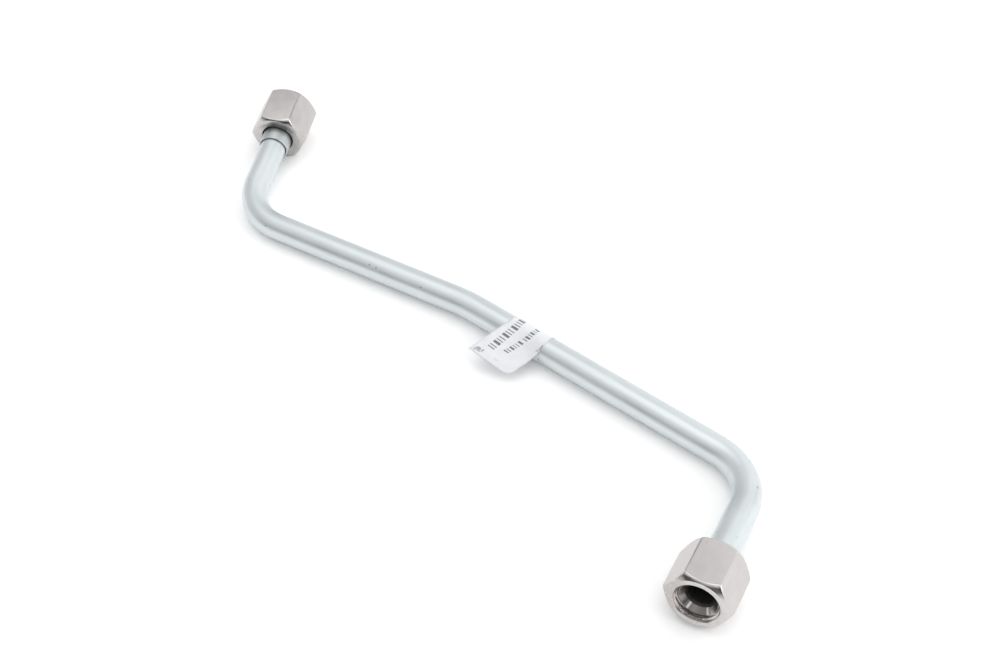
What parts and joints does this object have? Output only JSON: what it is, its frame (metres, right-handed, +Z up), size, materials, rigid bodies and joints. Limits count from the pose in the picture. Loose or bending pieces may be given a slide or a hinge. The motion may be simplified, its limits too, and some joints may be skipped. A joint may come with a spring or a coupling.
{
  "type": "drain tube",
  "caption": "Bent steel drain tube for liquids: a Z-shaped thin-walled pipe with flared ends, a loose sleeve and hexagon nut on each end, and a paper label wrapped round it",
  "frame": {"origin": "on the floor, under the middle of the part's box", "axes": "+Z up as the part lies on the floor; +X along the two long runs, towards the near end; +Y towards the far end, and the two legs point away from +Y and -Y by the same angle"},
  "size_m": [0.2282, 0.173, 0.0208],
  "materials": {
    "zinc_plate": "bluish white zinc plating on drawn steel tube, satin, with faint draw lines and small nicks",
    "sleeve_zinc": "turned steel with zinc plating, glossier than the tube",
    "nickel_plate": "pinkish grey plated steel, satin flats, turned end faces, bare cut edges at the chamfers",
    "label_paper": "white coated paper label with two rows of plain dark bars"
  },
  "bodies": {
    "tube": {"tube": "zinc_plate", "label": "label_paper"},
    "far_sleeve": {"far_sleeve": "sleeve_zinc"},
    "far_nut": {"far_nut": "nickel_plate"},
    "near_sleeve": {"near_sleeve": "sleeve_zinc"},
    "near_nut": {"near_nut": "nickel_plate"}
  },
  "joints": [
    {"name": "far_spin", "type": "hinge", "parent": "tube", "child": "far_sleeve", "pos_m": [-0.10264, 0.07833, 0.01065], "axis": [-0.1203, 0.9867, 0.1098], "continuous": true},
    {"name": "far_slide", "type": "slide", "parent": "far_sleeve", "child": "far_nut", "axis": [-0.1203, 0.9867, 0.1098], "range_m": [-0.023, 0]},
    {"name": "near_spin", "type": "hinge", "parent": "tube", "child": "near_sleeve", "pos_m": [0.10155, -0.08321, 0.01118], "axis": [-0.1203, -0.9867, 0.1091], "continuous": true},
    {"name": "near_slide", "type": "slide", "parent": "near_sleeve", "child": "near_nut", "axis": [-0.1203, -0.9867, 0.1091], "range_m": [-0.021, 0.0049]}
  ]
}
